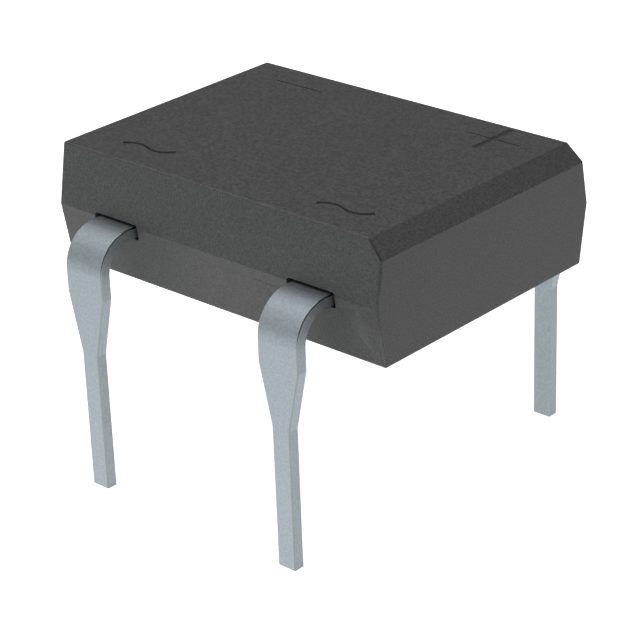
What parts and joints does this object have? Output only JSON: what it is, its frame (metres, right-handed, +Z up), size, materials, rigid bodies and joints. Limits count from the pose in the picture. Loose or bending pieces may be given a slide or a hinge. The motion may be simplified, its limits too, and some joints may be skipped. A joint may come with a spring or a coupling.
{
  "type": "bridge rectifier",
  "caption": "Moulded dual-in-line bridge rectifier: black epoxy body with bevelled end, and flat tinned leads bent down into tapered pins.",
  "frame": {"origin": "centre of the four lead tips, on the plane that they stand on", "axes": "+X along the body's long side towards the bevelled end, -Y towards the alternating-current leads, +Y towards the direct-current leads, +Z up out of the body's top"},
  "size_m": [0.0082, 0.0082, 0.0067],
  "materials": {
    "body_epoxy": "fine matte moulded epoxy, near black",
    "lead_tin": "satin tin plating on copper alloy strip",
    "die_silicon": "sawn silicon with a glass rim",
    "jumper_copper": "bare copper strip",
    "solder": "dull reflowed solder"
  },
  "bodies": {
    "root": {"moulded_body": "body_epoxy", "lead_positive": "lead_tin", "lead_negative": "lead_tin", "lead_ac_left": "lead_tin", "lead_ac_right": "lead_tin", "die_back_left": "die_silicon", "die_back_right": "die_silicon", "die_front_left": "die_silicon", "die_front_right": "die_silicon", "solder_under_die_back_left": "solder", "solder_on_die_back_left": "solder", "solder_under_die_back_right": "solder", "solder_on_die_back_right": "solder", "solder_under_die_front_left": "solder", "solder_on_die_front_left": "solder", "solder_under_die_front_right": "solder", "solder_on_die_front_right": "solder", "jumper_left": "jumper_copper", "jumper_right": "jumper_copper", "jumper_negative": "jumper_copper", "solder_foot_left": "solder", "solder_foot_right": "solder", "solder_foot_negative": "solder"}
  },
  "joints": []
}
